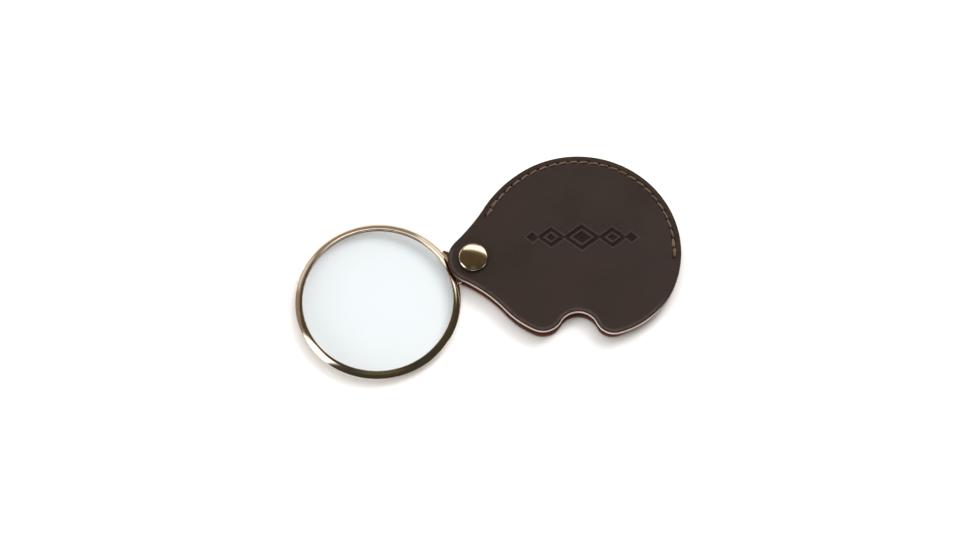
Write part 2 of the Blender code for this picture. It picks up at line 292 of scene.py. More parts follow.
# ---------------------------------------------------------------- materials
class Nodes:
    """A short way to write a node tree. Texture scales are counts per millimetre."""

    def __init__(self, name, **sockets):
        self.material = bpy.data.materials.new(name)
        self.material.use_nodes = True
        self.tree = self.material.node_tree
        self.shader = self.tree.nodes["Principled BSDF"]
        for label, value in sockets.items():
            self.shader.inputs[label.replace("_", " ")].default_value = value
        coordinates = self.tree.nodes.new("ShaderNodeTexCoord")
        scale = self.tree.nodes.new("ShaderNodeMapping")
        scale.inputs["Scale"].default_value = (1 / MM, 1 / MM, 1 / MM)
        self.tree.links.new(coordinates.outputs["Object"], scale.inputs["Vector"])
        self.place = scale.outputs["Vector"]

    def link(self, source, target):
        if isinstance(source, bpy.types.NodeSocket):
            self.tree.links.new(source, target)
        else:
            target.default_value = source

    def stretch(self, x, y, z):
        node = self.tree.nodes.new("ShaderNodeMapping")
        node.inputs["Scale"].default_value = (x, y, z)
        self.link(self.place, node.inputs["Vector"])
        return node.outputs["Vector"]

    def noise(self, scale, detail=3.0, roughness=0.5, vector=None, distortion=0.0):
        node = self.tree.nodes.new("ShaderNodeTexNoise")
        self.link(vector or self.place, node.inputs["Vector"])
        node.inputs["Scale"].default_value = scale
        node.inputs["Detail"].default_value = detail
        node.inputs["Roughness"].default_value = roughness
        node.inputs["Distortion"].default_value = distortion
        return node.outputs["Fac"]

    def voronoi(self, scale):
        node = self.tree.nodes.new("ShaderNodeTexVoronoi")
        self.link(self.place, node.inputs["Vector"])
        node.inputs["Scale"].default_value = scale
        return node.outputs["Distance"]

    def attribute(self, name):
        node = self.tree.nodes.new("ShaderNodeAttribute")
        node.attribute_name = name
        return node.outputs["Fac"]

    def math(self, operation, first, second):
        node = self.tree.nodes.new("ShaderNodeMath")
        node.operation = operation
        for socket, value in zip(node.inputs, (first, second)):
            self.link(value, socket)
        return node.outputs["Value"]

    def ranged(self, value, low, high, to_low, to_high):
        node = self.tree.nodes.new("ShaderNodeMapRange")
        node.interpolation_type = "SMOOTHSTEP"
        self.link(value, node.inputs["Value"])
        numbers = {"From Min": low, "From Max": high, "To Min": to_low, "To Max": to_high}
        for label, number in numbers.items():
            node.inputs[label].default_value = number
        return node.outputs["Result"]

    def mix(self, share, first, second):
        node = self.tree.nodes.new("ShaderNodeMix")
        node.data_type = "RGBA"
        colours = [socket for socket in node.inputs if socket.type == "RGBA"]
        self.link(share, node.inputs["Factor"])
        for socket, value in zip(colours, (first, second)):
            if isinstance(value, tuple):
                value = (*value, 1.0)
            self.link(value, socket)
        return next(socket for socket in node.outputs if socket.type == "RGBA")

    def bump(self, height, strength, distance, normal=None):
        node = self.tree.nodes.new("ShaderNodeBump")
        node.inputs["Strength"].default_value = strength
        node.inputs["Distance"].default_value = distance
        self.link(height, node.inputs["Height"])
        if normal is not None:
            self.link(normal, node.inputs["Normal"])
        return node.outputs["Normal"]

    def finish(self, **sockets):
        for label, value in sockets.items():
            self.link(value, self.shader.inputs[label.replace("_", " ")])
        return self.material


def leather_grain():
    """Dark brown pull-up leather: pebble grain, cloudy tone, rusty pull-up patches along the sewn margins, and
    darker pressed stamping. Painted shade darkens the sewn margins towards olive and darkens the stitch holes.
    A painted highlight, partly wear, lightens the ornament's lips and a line along the mouth's edge.
    """
    n = Nodes("dark_brown_leather", Specular_IOR_Level=0.32, Coat_Weight=0.03, Coat_Roughness=0.32)
    clouds = n.noise(0.055, 4.0, 0.55)
    mottle = n.noise(0.5, 3.0, 0.6)
    pores = n.voronoi(3.1)
    fine = n.noise(6.5, 4.0, 0.6)
    stamp = n.attribute("stamp")
    margin = n.attribute("margin")
    # Painted shade: the sewn margin is darkened towards olive where the leather slopes down to the seam. The
    # rust patches beside it are pull-up wear.
    margin_shade = n.math("MULTIPLY", margin, n.ranged(n.noise(0.16, 3.0, 0.6), 0.3, 0.62, 0.35, 1.0))
    patches = n.noise(0.21, 2.0, 0.5, distortion=0.4)
    rust = n.math("MULTIPLY", margin, n.ranged(patches, 0.56, 0.7, 0.0, 0.55))
    # Painted highlight: the rub value lightens a line just inside the mouth's edge and the ornament's raised
    # lips. On the lips it is partly wear.
    rub = n.math("MULTIPLY", n.attribute("rub"), n.ranged(mottle, 0.3, 0.6, 0.45, 1.0))

    deep_brown, brown = (0.0218, 0.0140, 0.0119), (0.0268, 0.0172, 0.0148)
    base = n.mix(n.ranged(clouds, 0.3, 0.7, 0.0, 1.0), deep_brown, brown)
    light_brown = (0.031, 0.0200, 0.0165)
    base = n.mix(n.ranged(mottle, 0.35, 0.75, 0.0, 0.22), base, light_brown)
    olive_shade = (0.0205, 0.0130, 0.0064)
    base = n.mix(margin_shade, base, olive_shade)
    rust_brown = (0.062, 0.024, 0.012)
    base = n.mix(rust, base, rust_brown)
    highlight_tan = (0.080, 0.060, 0.053)
    base = n.mix(rub, base, highlight_tan)
    # The stamp value darkens the pressed lozenges and the recess round the back cap. In the stitch holes it is
    # painted shade.
    burnish_and_hole_shade = (0.0035, 0.0020, 0.0017)
    base = n.mix(n.math("MULTIPLY", stamp, 0.68), base, burnish_and_hole_shade)
    pore_brown = (0.010, 0.006, 0.005)
    base = n.mix(n.ranged(pores, 0.0, 0.16, 0.35, 0.0), base, pore_brown)

    rough = n.math("ADD", n.ranged(clouds, 0.3, 0.7, 0.46, 0.38), n.math("MULTIPLY", fine, 0.14))
    pebbles = n.math("MULTIPLY", n.ranged(pores, 0.0, 0.45, 0.0, 1.0), 0.7)
    grain = n.math("ADD", pebbles, n.math("MULTIPLY", fine, 0.5))
    grain = n.math("MULTIPLY", grain, n.ranged(stamp, 0.0, 1.0, 1.0, 0.35))
    normal = n.bump(grain, 0.32, 0.02 * MM)
    normal = n.bump(mottle, 0.25, 0.12 * MM, normal)
    return n.finish(Base_Color=base, Roughness=rough, Normal=normal)


def leather_edge():
    """Cut edge of the leather: pinkish tan fibres, dyed brown towards the grain side, stained in places, and
    darkened with painted shade along the back panel's mouth.
    """
    n = Nodes("raw_leather_edge", Specular_IOR_Level=0.25)
    fibre = n.noise(1.0, 4.0, 0.65, vector=n.stretch(0.9, 0.9, 7.0))
    speck = n.noise(3.6, 3.0, 0.6)
    depth = n.attribute("depth")
    pink_tan, pale_pink = (0.74, 0.56, 0.48), (0.90, 0.76, 0.69)
    base = n.mix(n.ranged(fibre, 0.3, 0.72, 0.0, 1.0), pink_tan, pale_pink)
    speck_tan = (0.48, 0.29, 0.21)
    base = n.mix(n.ranged(speck, 0.60, 0.78, 0.0, 0.5), base, speck_tan)
    dye = n.math("ADD", depth, n.math("MULTIPLY", n.math("SUBTRACT", fibre, 0.5), 0.22))
    grain_brown = (0.050, 0.028, 0.020)
    base = n.mix(n.ranged(dye, 0.0, 0.12, 1.0, 0.0), base, grain_brown)
    flesh_brown = (0.20, 0.095, 0.065)
    base = n.mix(n.ranged(dye, 0.86, 1.0, 0.0, 0.6), base, flesh_brown)
    # The stain value gives stained edges. On the back panel's mouth it is painted shade.
    deep_stain, stain_and_shade = (0.070, 0.028, 0.018), (0.165, 0.066, 0.044)
    stained = n.mix(n.ranged(fibre, 0.3, 0.7, 0.0, 1.0), deep_stain, stain_and_shade)
    base = n.mix(n.attribute("stain_and_shade"), base, stained)
    normal = n.bump(n.math("ADD", fibre, n.math("MULTIPLY", speck, 0.6)), 0.6, 0.06 * MM)
    return n.finish(Base_Color=base, Roughness=n.ranged(fibre, 0.3, 0.7, 0.86, 0.7), Normal=normal)


def leather_flesh():
    """The suede inner side."""
    n = Nodes("suede_flesh_side", Specular_IOR_Level=0.2, Sheen_Weight=0.3, Sheen_Roughness=0.5)
    nap = n.noise(2.4, 5.0, 0.7)
    patch = n.noise(0.18, 3.0, 0.5)
    dark_red_brown, red_brown, patch_brown = (0.10, 0.036, 0.025), (0.19, 0.080, 0.055), (0.09, 0.05, 0.037)
    base = n.mix(n.ranged(nap, 0.3, 0.7, 0.0, 1.0), dark_red_brown, red_brown)
    base = n.mix(n.ranged(patch, 0.35, 0.65, 0.0, 0.4), base, patch_brown)
    rough = n.ranged(nap, 0.2, 0.8, 0.98, 0.88)
    return n.finish(Base_Color=base, Roughness=rough, Normal=n.bump(nap, 0.7, 0.1 * MM))


def thread_fibre():
    """Waxed brown thread."""
    n = Nodes("waxed_thread", Specular_IOR_Level=0.35, Sheen_Weight=0.2, Sheen_Roughness=0.4)
    fuzz = n.noise(9.0, 4.0, 0.7)
    tone = n.noise(0.35, 2.0, 0.5)
    brown, tan, dark_fibre = (0.125, 0.078, 0.052), (0.195, 0.130, 0.092), (0.075, 0.045, 0.030)
    base = n.mix(n.ranged(tone, 0.3, 0.7, 0.0, 1.0), brown, tan)
    base = n.mix(n.ranged(fuzz, 0.35, 0.7, 0.0, 0.45), base, dark_fibre)
    rough = n.ranged(fuzz, 0.3, 0.7, 0.72, 0.5)
    return n.finish(Base_Color=base, Roughness=rough, Normal=n.bump(fuzz, 0.5, 0.03 * MM))


def metal(name, bright, deep, roughness, scratch):
    """Polished metal with faint tarnish, fine rubbing marks and a slightly uneven surface."""
    n = Nodes(name, Metallic=1.0)
    tarnish = n.noise(0.45, 4.0, 0.6)
    rub = n.noise(1.4, 5.0, 0.7, vector=n.stretch(1.0, 9.0, 4.0))
    wave = n.noise(0.12, 2.0, 0.4)
    base = n.mix(n.ranged(tarnish, 0.35, 0.72, 0.0, 0.7), bright, deep)
    dull = n.ranged(tarnish, 0.3, 0.75, roughness, roughness + 0.06)
    rough = n.math("ADD", dull, n.ranged(rub, 0.5, 0.8, 0.0, scratch))
    normal = n.bump(rub, 0.06, 0.01 * MM)
    normal = n.bump(wave, 0.12, 0.05 * MM, normal)
    return n.finish(Base_Color=base, Roughness=rough, Normal=normal)


def lens_glass():
    """Clear crown glass with the faint marks of a lens in use."""
    n = Nodes("crown_glass", Transmission_Weight=1.0, IOR=1.52)
    haze = n.noise(0.22, 4.0, 0.6)
    tint = n.mix(n.ranged(haze, 0.3, 0.7, 0.0, 1.0), (0.850, 0.900, 0.931), (0.857, 0.905, 0.935))
    return n.finish(Base_Color=tint, Roughness=n.ranged(haze, 0.45, 0.8, 0.0, 0.015))


GRAIN = leather_grain()
EDGE = leather_edge()
FLESH = leather_flesh()
THREAD = thread_fibre()
RIVET = metal("rivet_brass", (0.86, 0.74, 0.56), (0.78, 0.63, 0.41), 0.11, 0.08)
GILT = metal("pale_gilt", (0.78, 0.68, 0.57), (0.70, 0.58, 0.46), 0.08, 0.08)
GLASS = lens_glass()


# ---------------------------------------------------------------- the leather panels
# The stamped row of lozenges: each one's place along the row, and half its length and height, in mm.
# One whose half-length is under SOLID_UNDER is pressed all over. The others have, inwards from their
# outline, a pressed band as wide as BAND, a raised lip at INNER_LIP and a pressed heart from HEART on.
ORNAMENT_CENTRE = np.array((36.2, 7.5)) * MM
LOZENGES = ((0.0, 6.4, 4.7), (-10.2, 4.9, 3.7), (10.2, 4.9, 3.7), (-16.5, 2.3, 1.9), (16.5, 2.3, 1.9))
SOLID_UNDER = 3.0
STAMP_SLOPE = 0.26
BAND = 1.15
INNER_LIP = 1.50
HEART = 1.95
LIP_WIDTH = 0.16
STAMP_DEPTH = 0.36 * MM
LIP_HEIGHT = 0.04 * MM

# The face's points are close together in a band along the seam and in a box round the ornament, and coarse
# elsewhere: the band's half-width and the box's half-length and half-height in mm, where the fine points stop
# and where the coarse ones begin.
FINE_REACH = (1.5, 19.0, 6.0)
COARSE_REACH = (1.7, 19.3, 6.3)
COARSE_STEP = 1.1 * MM
FRONT_STEP = 0.22 * MM
BACK_STEP = 0.34 * MM
INNER_STEP = 3.0 * MM
INNER_THINNING = 9
EDGE_CLEARANCE = 0.16 * MM
RIMS_REACH = 1.35 * MM
HOLE_CLEARANCE = 0.15 * MM
HOLE_STEPS = 48

# The edge's section, as (distance in from the outline, depth below the face) in mm: how the face falls towards
# the edge, then the rounded shoulder and the cut edge, each a loop of points. RIM_INSETS are further loops.
FALL_GAPS = (0.52, 0.70, 0.95, 1.25, 1.60, 2.00)
FALLS = (0.135, 0.088, 0.048, 0.022, 0.008, 0.0)
SHOULDER = ((0.52, 0.135), (0.36, 0.185), (0.25, 0.235), (0.18, 0.285))
CUT_EDGE = (
    (0.16, 0.34), (0.13, 0.50), (0.09, 0.74), (0.06, 0.98),
    (0.03, 1.22), (0.01, 1.42), (0.03, 1.53), (0.09, 1.60),
)
RIM_INSETS = (0.72, 0.92, 1.12, 1.36, 1.70)

# The relief of the outer face.
SEAM_PULL, SEAM_PULL_REACH = 0.30 * MM, 4.4 * MM
CROWN, CROWN_FROM, CROWN_TO = 0.30 * MM, 2.0 * MM, 17.0 * MM
SEAM_GROOVE, SEAM_GROOVE_WIDTH = 0.16 * MM, 0.55 * MM
HOLE_DEPTH, HOLE_R, HOLE_SHADE_R = 0.85 * MM, 0.48 * MM, 0.60 * MM
CREASE, CREASE_WIDTH = 0.045 * MM, 0.28 * MM
CUP_DEPTH, CUP_FROM, CUP_TO = 0.14 * MM, 4.4 * MM, 6.4 * MM
SWAY, SWAY_FROM, SWAY_TO = 0.035 * MM, 1.0 * MM, 8.0 * MM
MARGIN_FROM, MARGIN_TO = 1.2 * MM, 3.4 * MM
MOUTH_HIGHLIGHT_INSET, MOUTH_HIGHLIGHT_WIDTH = 1.05 * MM, 0.34 * MM
CAP_R = 4.9 * MM
CAP_RECESS = 1.15 * MM
FRONT_HOLE_R = 2.5 * MM
BACK_HOLE_R = 2.05 * MM
GRAIN_SLOT, EDGE_SLOT, FLESH_SLOT = 0, 1, 2


def ornament(points):
    """How far the stamp presses each point in, and how far it is in a raised lip beside it, from 0 to 1."""
    u, v = ((points - ORNAMENT_CENTRE) / MM).T
    deep = np.zeros(len(points))
    lip = np.zeros(len(points))
    for centre, half_u, half_v in LOZENGES:
        slope = half_u * half_v / math.hypot(half_u, half_v)
        inwards = (1.0 - np.abs(u - centre) / half_u - np.abs(v) / half_v) * slope
        shape = smooth(inwards, 0.0, STAMP_SLOPE)
        if half_u > SOLID_UNDER:
            shape = shape - smooth(inwards, BAND, BAND + STAMP_SLOPE)
            shape = shape + smooth(inwards, HEART, HEART + STAMP_SLOPE)
            lip = np.maximum(lip, ridge(inwards - INNER_LIP, LIP_WIDTH))
        deep = np.maximum(deep, shape)
        lip = np.maximum(lip, 0.8 * ridge(inwards + LIP_WIDTH, LIP_WIDTH))
    return deep, lip


def grid_points(low, high, step):
    """Points of a triangular grid over a box."""
    rows = []
    for index, y in enumerate(np.arange(low[1], high[1], step * 0.866)):
        shift = step / 2 if index % 2 else 0.0
        x = np.arange(low[0] + shift, high[0], step)
        rows.append(np.column_stack([x, np.full(len(x), y)]))
    return np.vstack(rows)


def in_reach(points, reach, with_ornament):
    """Which points lie in the seam's band or the ornament's box."""
    seam, half_length, half_height = np.array(reach) * MM
    found = distance_to_line(points, SEAM_LINE, False) < seam
    if with_ornament:
        off = np.abs(points - ORNAMENT_CENTRE)
        found |= (off[:, 0] < half_length) & (off[:, 1] < half_height)
    return found


def face_points(boundary, hole_radius, with_ornament, fine, rims=()):
    """Points inside a panel's face. rims are loops of points that follow the edge."""
    low, high = boundary.min(0), boundary.max(0)
    close = grid_points(low, high, fine)
    coarse = grid_points(low, high, COARSE_STEP)
    close = close[in_reach(close, FINE_REACH, with_ornament)]
    coarse = coarse[~in_reach(coarse, COARSE_REACH, with_ornament)]
    points = np.vstack([close, coarse])
    points = points[inside(points, boundary)]
    clearance = RIMS_REACH if rims else EDGE_CLEARANCE
    points = points[distance_to_line(points, boundary, True) > clearance]
    points = np.vstack([points, *rims])
    return points[np.hypot(*points.T) > hole_radius + HOLE_CLEARANCE]


def triangulated(boundary, hole_radius, extra):
    """Triangles over a boundary with a round hole at the pivot. The boundary and the hole come first."""
    points = np.vstack([boundary, hole_radius * around(HOLE_STEPS), extra])
    base = len(boundary)
    edges = [(i, (i + 1) % base) for i in range(base)]
    edges += [(base + i, base + (i + 1) % HOLE_STEPS) for i in range(HOLE_STEPS)]
    result = delaunay_2d_cdt([Vector(p / MM) for p in points], edges, [], 1, 1e-6)
    verts = np.array([tuple(v) for v in result[0]]) * MM
    order = [ids[0] if ids else -1 for ids in result[3]]
    if sorted(order) != list(range(len(points))):
        raise ValueError("the panel's triangulation changed its points")
    faces = []
    for face in result[2]:
        if np.hypot(*verts[list(face)].mean(0)) < hole_radius * 0.98:
            continue
        corners = [order[i] for i in face]
        a, b, c = (points[i] for i in corners)
        turn = (b[0] - a[0]) * (c[1] - a[1]) - (b[1] - a[1]) * (c[0] - a[0])
        faces.append(corners if turn > 0 else corners[::-1])
    return points, faces


def relief(points, front):
    """Depth below the flat outer face, in metres, and these values at each point: the stamp value with painted
    shade in the stitch holes, the margin value, and the rub value, which is a painted highlight and partly
    wear.
    """
    bearing = bearings(points)
    # 1 along the sewn edge, fading to 0 along the mouth.
    sewn = smooth(bearing, SEAM_SPAN[0] - 9.0, SEAM_SPAN[0] + 4.0)
    sewn *= 1.0 - smooth(bearing, SEAM_SPAN[1] - 2.0, SEAM_SPAN[1] + 9.0)
    edge_gap = distance_to_line(points, case_outline() if front else back_outline(), True)
    seam_gap = distance_to_line(points, SEAM_LINE, False)
    hole_gap = np.min([np.hypot(*(points - hole).T) for hole in SEAM_HOLES], axis=0)
    pivot_gap = np.hypot(*points.T)

    depth = np.interp(edge_gap, np.array(FALL_GAPS) * MM, np.array(FALLS) * MM)
    depth += sewn * SEAM_PULL * (1.0 - smooth(edge_gap, 0.0, SEAM_PULL_REACH))
    if front:
        depth += CROWN * (1.0 - smooth(edge_gap, CROWN_FROM, CROWN_TO))
    depth += SEAM_GROOVE * ridge(seam_gap, SEAM_GROOVE_WIDTH)
    depth += HOLE_DEPTH * ridge(hole_gap, HOLE_R, 4)
    # A faint creased line along the mouth's right, where the seam would go on.
    crease = ridge(edge_gap - SEAM_INSET, CREASE_WIDTH) * (1.0 - sewn)
    crease *= smooth(bearing, -62.0, -50.0) * (1.0 - smooth(bearing, -10.0, -4.0))
    depth += CREASE * crease
    depth += CUP_DEPTH * (1.0 - smooth(pivot_gap, CUP_FROM, CUP_TO))
    # The leather isn't quite flat.
    x, y = (points / MM).T
    sway = np.sin(x * 0.11 + 0.6) * np.sin(y * 0.13 - 0.4) + 0.6 * np.sin(x * 0.05 - y * 0.08 + 1.3)
    depth += SWAY * (sway + 1.6) * smooth(edge_gap, SWAY_FROM, SWAY_TO)
    stamp, lip = ornament(points) if front else np.zeros((2, len(points)))
    depth += STAMP_DEPTH * stamp - LIP_HEIGHT * lip

    # Painted shade: the stitch holes are darkened, carried along with the stamp.
    shade = np.maximum(stamp, ridge(hole_gap, HOLE_SHADE_R, 4))
    margin = sewn * (1.0 - smooth(edge_gap, MARGIN_FROM, MARGIN_TO))
    # Painted highlight: a light line just inside the mouth's edge, on its lower stretch only, and on the
    # ornament's raised lips, where it is partly wear.
    mouth = (1.0 - sewn) * smooth(-bearing, 24.0, 44.0)
    rub = 0.7 * lip + 0.75 * mouth * ridge(edge_gap - MOUTH_HIGHLIGHT_INSET, MOUTH_HIGHLIGHT_WIDTH)
    return depth, shade, margin, rub


class Sheet:
    """A leather panel in the making: faces, and vertices with a place in plan, a depth below the outer face
    and their values."""

    def __init__(self):
        self.rows = []
        self.faces = []
        self.slots = []
        self.count = 0

    def add(self, plan, depth, stamp=0.0, margin=0.0, rub=0.0, dye=0.0):
        """Adds vertices and returns their numbers. dye is how far through the leather they are, from 0 to 1."""
        size = len(plan)
        columns = [np.broadcast_to(value, (size,)) for value in (depth, stamp, margin, rub, dye)]
        self.rows.append(np.column_stack([plan, *columns]))
        self.count += size
        return list(range(self.count - size, self.count))

    def cover(self, faces, slot):
        self.faces += faces
        self.slots += [slot] * len(faces)

    def bridge(self, here, there, slot):
        """A band of faces between two closed loops of vertices."""
        self.cover(list(zip(here, there, there[1:] + there[:1], here[1:] + here[:1])), slot)


def stain_and_shade(bearing, front):
    """How dark the cut edge is drawn: stained everywhere but along the mouth, where it is pale. On the back
    panel the mouth's edge is darkened too, as painted shade under the front panel.
    """
    amount = 1.0 - smooth(bearing, -170.0, -161.0) * (1.0 - smooth(bearing, -48.0, -30.0))
    # Painted shade: the back panel's edge under the front panel is darkened.
    if not front:
        amount = np.maximum(amount, 0.3 + 0.55 * smooth(bearing, -148.0, -128.0))
    return amount


def panel(node, outer_z, inwards, hole_radius, cap_recess, front):
    """A leather panel. inwards is 1 or -1, the way into the leather along Z from its outer face at outer_z."""
    outline = case_outline if front else back_outline
    sheet = Sheet()

    boundary = outline(SHOULDER[0][0] * MM)
    count = len(boundary)
    face_hole = CAP_R if cap_recess else hole_radius
    rims = [outline(inset * MM) for inset in RIM_INSETS]
    extra = face_points(boundary, face_hole, front, FRONT_STEP if front else BACK_STEP, rims)
    points, faces = triangulated(boundary, face_hole, extra)
    # stamp here also holds painted shade in the stitch holes. rub is a painted highlight and partly wear.
    depth, stamp, margin, rub = relief(points, front)
    outer = sheet.add(points, depth, stamp, margin, rub)
    sheet.cover(faces, GRAIN_SLOT)
    loop = outer[:count]
    hole = outer[count:count + HOLE_STEPS]

    fallen = depth[:count] - SHOULDER[0][1] * MM
    for slot, section in ((GRAIN_SLOT, SHOULDER[1:]), (EDGE_SLOT, CUT_EDGE)):
        for inset, down in section:
            through = down * MM / LEATHER
            depths = down * MM + fallen * (1.0 - through)
            lower = sheet.add(outline(inset * MM), depths, margin=margin[:count], dye=through)
            sheet.bridge(loop, lower, slot)
            loop = lower

    boundary = outline(CUT_EDGE[-1][0] * MM)
    extra = face_points(boundary, hole_radius, False, INNER_STEP)[::INNER_THINNING]
    points, faces = triangulated(boundary, hole_radius, extra)
    inner = loop + sheet.add(points[count:], LEATHER, dye=1.0)
    sheet.cover([[inner[i] for i in reversed(corners)] for corners in faces], FLESH_SLOT)

    if cap_recess:
        for radius in (CAP_R, hole_radius):
            ring = sheet.add(radius * around(HOLE_STEPS), cap_recess, stamp=1.0, dye=0.1)
            sheet.bridge(ring, hole, GRAIN_SLOT)
            hole = ring
    sheet.bridge(inner[count:count + HOLE_STEPS], hole, EDGE_SLOT)

    rows = np.vstack(sheet.rows)
    values = dict(zip(("stamp", "margin", "rub", "depth"), rows[:, 3:].T))
    values["stain_and_shade"] = stain_and_shade(bearings(rows[:, :2]), front)
    placed = at_pivot(rows[:, :2], outer_z + inwards * rows[:, 2])
    faces = sheet.faces if inwards < 0 else [tuple(reversed(corners)) for corners in sheet.faces]
    obj = new_piece(node + "_leather", placed, faces, [GRAIN, EDGE, FLESH], sheet.slots, values)
    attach(obj, "case")
    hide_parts(node)


def build_panels():
    """The front panel, and the back panel with its recess for the rivet's flat cap."""
    panel("front_panel", FRONT_TOP, -1, FRONT_HOLE_R, 0.0, True)
    panel("back_panel", 0.0, 1, BACK_HOLE_R, CAP_RECESS, False)


# ---------------------------------------------------------------- the welt
# The strip's section: how far across it, from its outer side, and how far up the gap, from 0 to 1.
WELT_SECTION = (
    (0.0, 0.12), (0.0, 0.35), (0.0, 0.65), (0.0, 0.88), (0.03, 1.0), (0.5, 1.0),
    (0.97, 1.0), (1.0, 0.8), (1.0, 0.2), (0.97, 0.0), (0.5, 0.0), (0.03, 0.0),
)
WELT_STEPS = 200
# How far the strip stays inside its CAD shape, on its outer side and at its two faces.
WELT_SHRINK = 0.06 * MM
WELT_GAP = 0.02 * MM


def build_welt():
    """The spacer strip: a rounded bar of raw leather that follows the seam."""
    outer = edge_run(WELT_INSET + WELT_SHRINK, WELT_SPAN, WELT_STEPS)
    inner = edge_run(WELT_INSET + WELT_WIDTH, WELT_SPAN, WELT_STEPS)
    low, high = LEATHER + WELT_GAP, FRONT_LOW - WELT_GAP
    verts, stains = [], []
    for start, end in zip(outer, inner):
        for share, height in WELT_SECTION:
            place = start + (end - start) * share
            verts.append((place[0], place[1], low + height * (high - low)))
            stains.append(0.85 if share < 0.1 else 0.5)
    size = len(WELT_SECTION)
    faces = []
    for index in range(WELT_STEPS - 1):
        for corner in range(size):
            a = index * size + corner
            b = index * size + (corner + 1) % size
            faces.append((a, a + size, b + size, b))
    faces.append(tuple(range(size)))
    faces.append(tuple(reversed(range((WELT_STEPS - 1) * size, WELT_STEPS * size))))
    verts = np.array(verts)
    values = {"depth": np.full(len(verts), 0.6), "stain_and_shade": stains}
    obj = new_piece("welt_strip", at_pivot(verts[:, :2], verts[:, 2]), faces, [EDGE], None, values)
    obj.data.set_sharp_from_angle(angle=math.radians(60))
    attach(obj, "case")
    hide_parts("welt")


# ---------------------------------------------------------------- the seam's threads
THREAD_R = 0.35 * MM
STRANDS = 3
STRAND_SIDES = 7
STRAND_SHARE = 0.52
TWIST_PITCH = 1.5 * MM
STITCH_STEPS = 26
STITCH_BOW = 0.09 * MM
STITCH_DIVE = 1.0 * MM
DIVE_SHARE = 0.16
WANDER = 0.06 * MM
THICKNESS = (0.92, 1.04)
# The stitches at each end that are sewn over, and how the thread on top differs: set aside, higher and thinner.
DOUBLED = 2
DOUBLED_SHIFT = 0.42 * MM
DOUBLED_RISE = 0.04 * MM
DOUBLED_THICKNESS = 0.9


def stitch_line(start, end, outer_z, inwards, lean, sink):
    """The centreline of one stitch: out of one hole, over the leather and down the next."""
    step = end - start
    shares = np.linspace(0.0, 1.0, STITCH_STEPS)
    plan = start + shares[:, None] * step + across(step) * (lean * (shares - 0.5) * 2.0)[:, None]
    dive = np.maximum(ridge(shares, DIVE_SHARE, 4), ridge(1 - shares, DIVE_SHARE, 4))
    depth = sink - STITCH_BOW * np.sin(shares * math.pi) + dive * STITCH_DIVE
    return np.column_stack([plan, outer_z + inwards * depth])


def twisted(centre, radius, start_angle):
    """Verts and faces of strands twisted round a centreline."""
    lengths = np.concatenate([[0.0], np.cumsum(np.linalg.norm(np.diff(centre, axis=0), axis=1))])
    side, top = side_and_top(centre)
    strand_r = radius * STRAND_SHARE
    offset = radius - strand_r
    verts, faces = [], []
    for strand in range(STRANDS):
        angle = start_angle + TURN * strand / STRANDS + lengths / TWIST_PITCH * TURN
        path = centre + offset * (np.cos(angle)[:, None] * side + np.sin(angle)[:, None] * top)
        made, joined = swept(path, STRAND_SIDES, strand_r)
        base = sum(len(v) for v in verts)
        verts.append(made)
        faces += [tuple(base + i for i in face) for face in joined]
    return np.vstack(verts), faces


def build_thread(name, node, outer_z, inwards, lean, sink):
    """Every stitch of one side. lean slants them, and sink is how deep they lie in the leather."""
    dice = np.random.default_rng(RANDOM_SEED + (1 if inwards > 0 else 0))
    verts, faces = [], []

    def add(line, radius):
        made, joined = twisted(line, radius, dice.uniform(0, 6.28))
        base = sum(len(v) for v in verts)
        verts.append(made)
        faces.extend(tuple(base + i for i in face) for face in joined)

    for index in range(STITCHES):
        start, end = SEAM_HOLES[index], SEAM_HOLES[index + 1]
        wander = dice.uniform(-WANDER, WANDER)
        line = stitch_line(start, end, outer_z, inwards, lean + wander, sink)
        add(line, THREAD_R * dice.uniform(*THICKNESS))
        if index < DOUBLED or index >= STITCHES - DOUBLED:
            shift = across(end - start) * DOUBLED_SHIFT * (1 if index % 2 else -1)
            start, end = start + shift, end + shift * 0.6
            line = stitch_line(start, end, outer_z, inwards, -lean, sink - DOUBLED_RISE)
            add(line, THREAD_R * DOUBLED_THICKNESS)
    stacked = np.vstack(verts)
    obj = new_piece(name, at_pivot(stacked[:, :2], stacked[:, 2]), faces, [THREAD])
    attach(obj, "case")
    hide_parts(node)


# ---------------------------------------------------------------- the rivet
# The front cap in mm: its height over the leather, its dome, its rolled edge and its hollow inside.
CAP_HEIGHT = 1.90
DOME_R = 4.15
DOME_DROP = 0.62
ROLL_CENTRE = (4.12, CAP_HEIGHT - DOME_DROP - 0.66)
ROLL_RADII = (0.78, 0.62)
CAP_MOUTH = ((3.85, 0.0), (3.85, 0.2), (4.3, 0.3), (4.2, 0.75))
CAP_CEILING = ((3.6, 1.15), (2.0, 1.42), (0.0, 1.52))
# The back cap's section, as (radius, height above the surface it lies on) in mm.
BACK_CAP = (
    (0.0, 0.38), (4.05, 0.38), (4.2, 0.52), (4.2, 0.72), (3.75, 0.8), (3.75, 1.02), (4.3, 1.06), (4.52, 1.0),
    (4.62, 0.85), (4.62, 0.45), (4.5, 0.22), (4.25, 0.09), (3.9, 0.05), (3.5, 0.07), (3.3, 0.12), (0.0, 0.12),
)


def cap_section():
    """The front cap's section: its dome, its rolled edge, and back up inside."""
    section = [(DOME_R * share, CAP_HEIGHT - DOME_DROP * share**2) for share in np.linspace(0.0, 1.0, 14)]
    for angle in np.radians(np.linspace(68.0, -90.0, 14)):
        radius = ROLL_CENTRE[0] + ROLL_RADII[0] * math.cos(angle)
        section.append((radius, ROLL_CENTRE[1] + ROLL_RADII[1] * math.sin(angle)))
    low = section[-1][1]
    section += [(radius, low + rise) for radius, rise in CAP_MOUTH]
    section += CAP_CEILING
    return [(radius * MM, FRONT_TOP + height * MM) for radius, height in section]


